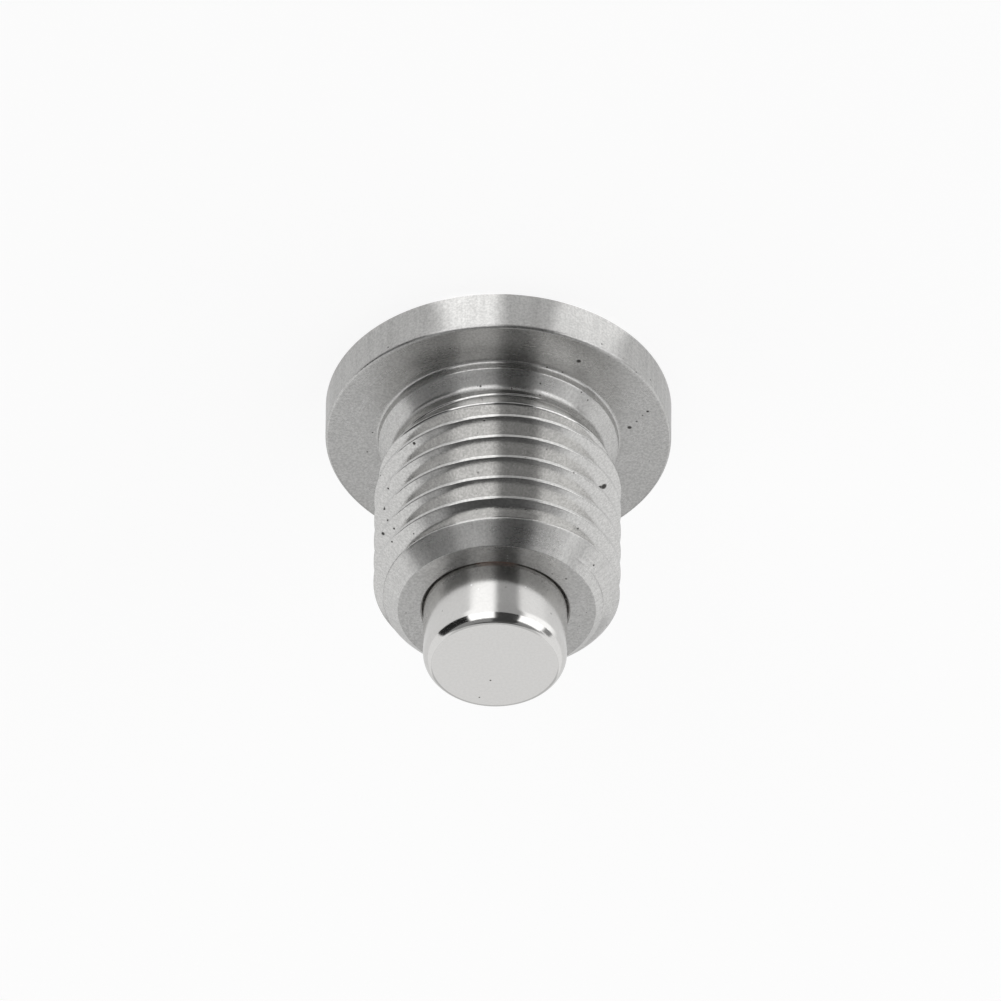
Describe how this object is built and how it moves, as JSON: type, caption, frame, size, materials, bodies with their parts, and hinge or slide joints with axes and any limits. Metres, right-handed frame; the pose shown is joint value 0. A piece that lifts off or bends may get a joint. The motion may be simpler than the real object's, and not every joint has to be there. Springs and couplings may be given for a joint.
{
  "type": "oil drain plug",
  "caption": "Flanged, threaded oil drain plug with a hex socket in its head and a disc magnet set in its tip.",
  "frame": {"origin": "centre of the flange's back, on the surface that the plug stands on", "axes": "+Z along the plug's axis from its head to its tip; +Y away from the side that the picture shows"},
  "size_m": [0.0194, 0.0192, 0.019],
  "materials": {
    "stainless_steel": "fine turned, with faint tool rings",
    "nickel_plate": "bright nickel plate, slightly cloudy"
  },
  "bodies": {
    "root": {"plug_body": "stainless_steel", "magnet": "nickel_plate"}
  },
  "joints": []
}
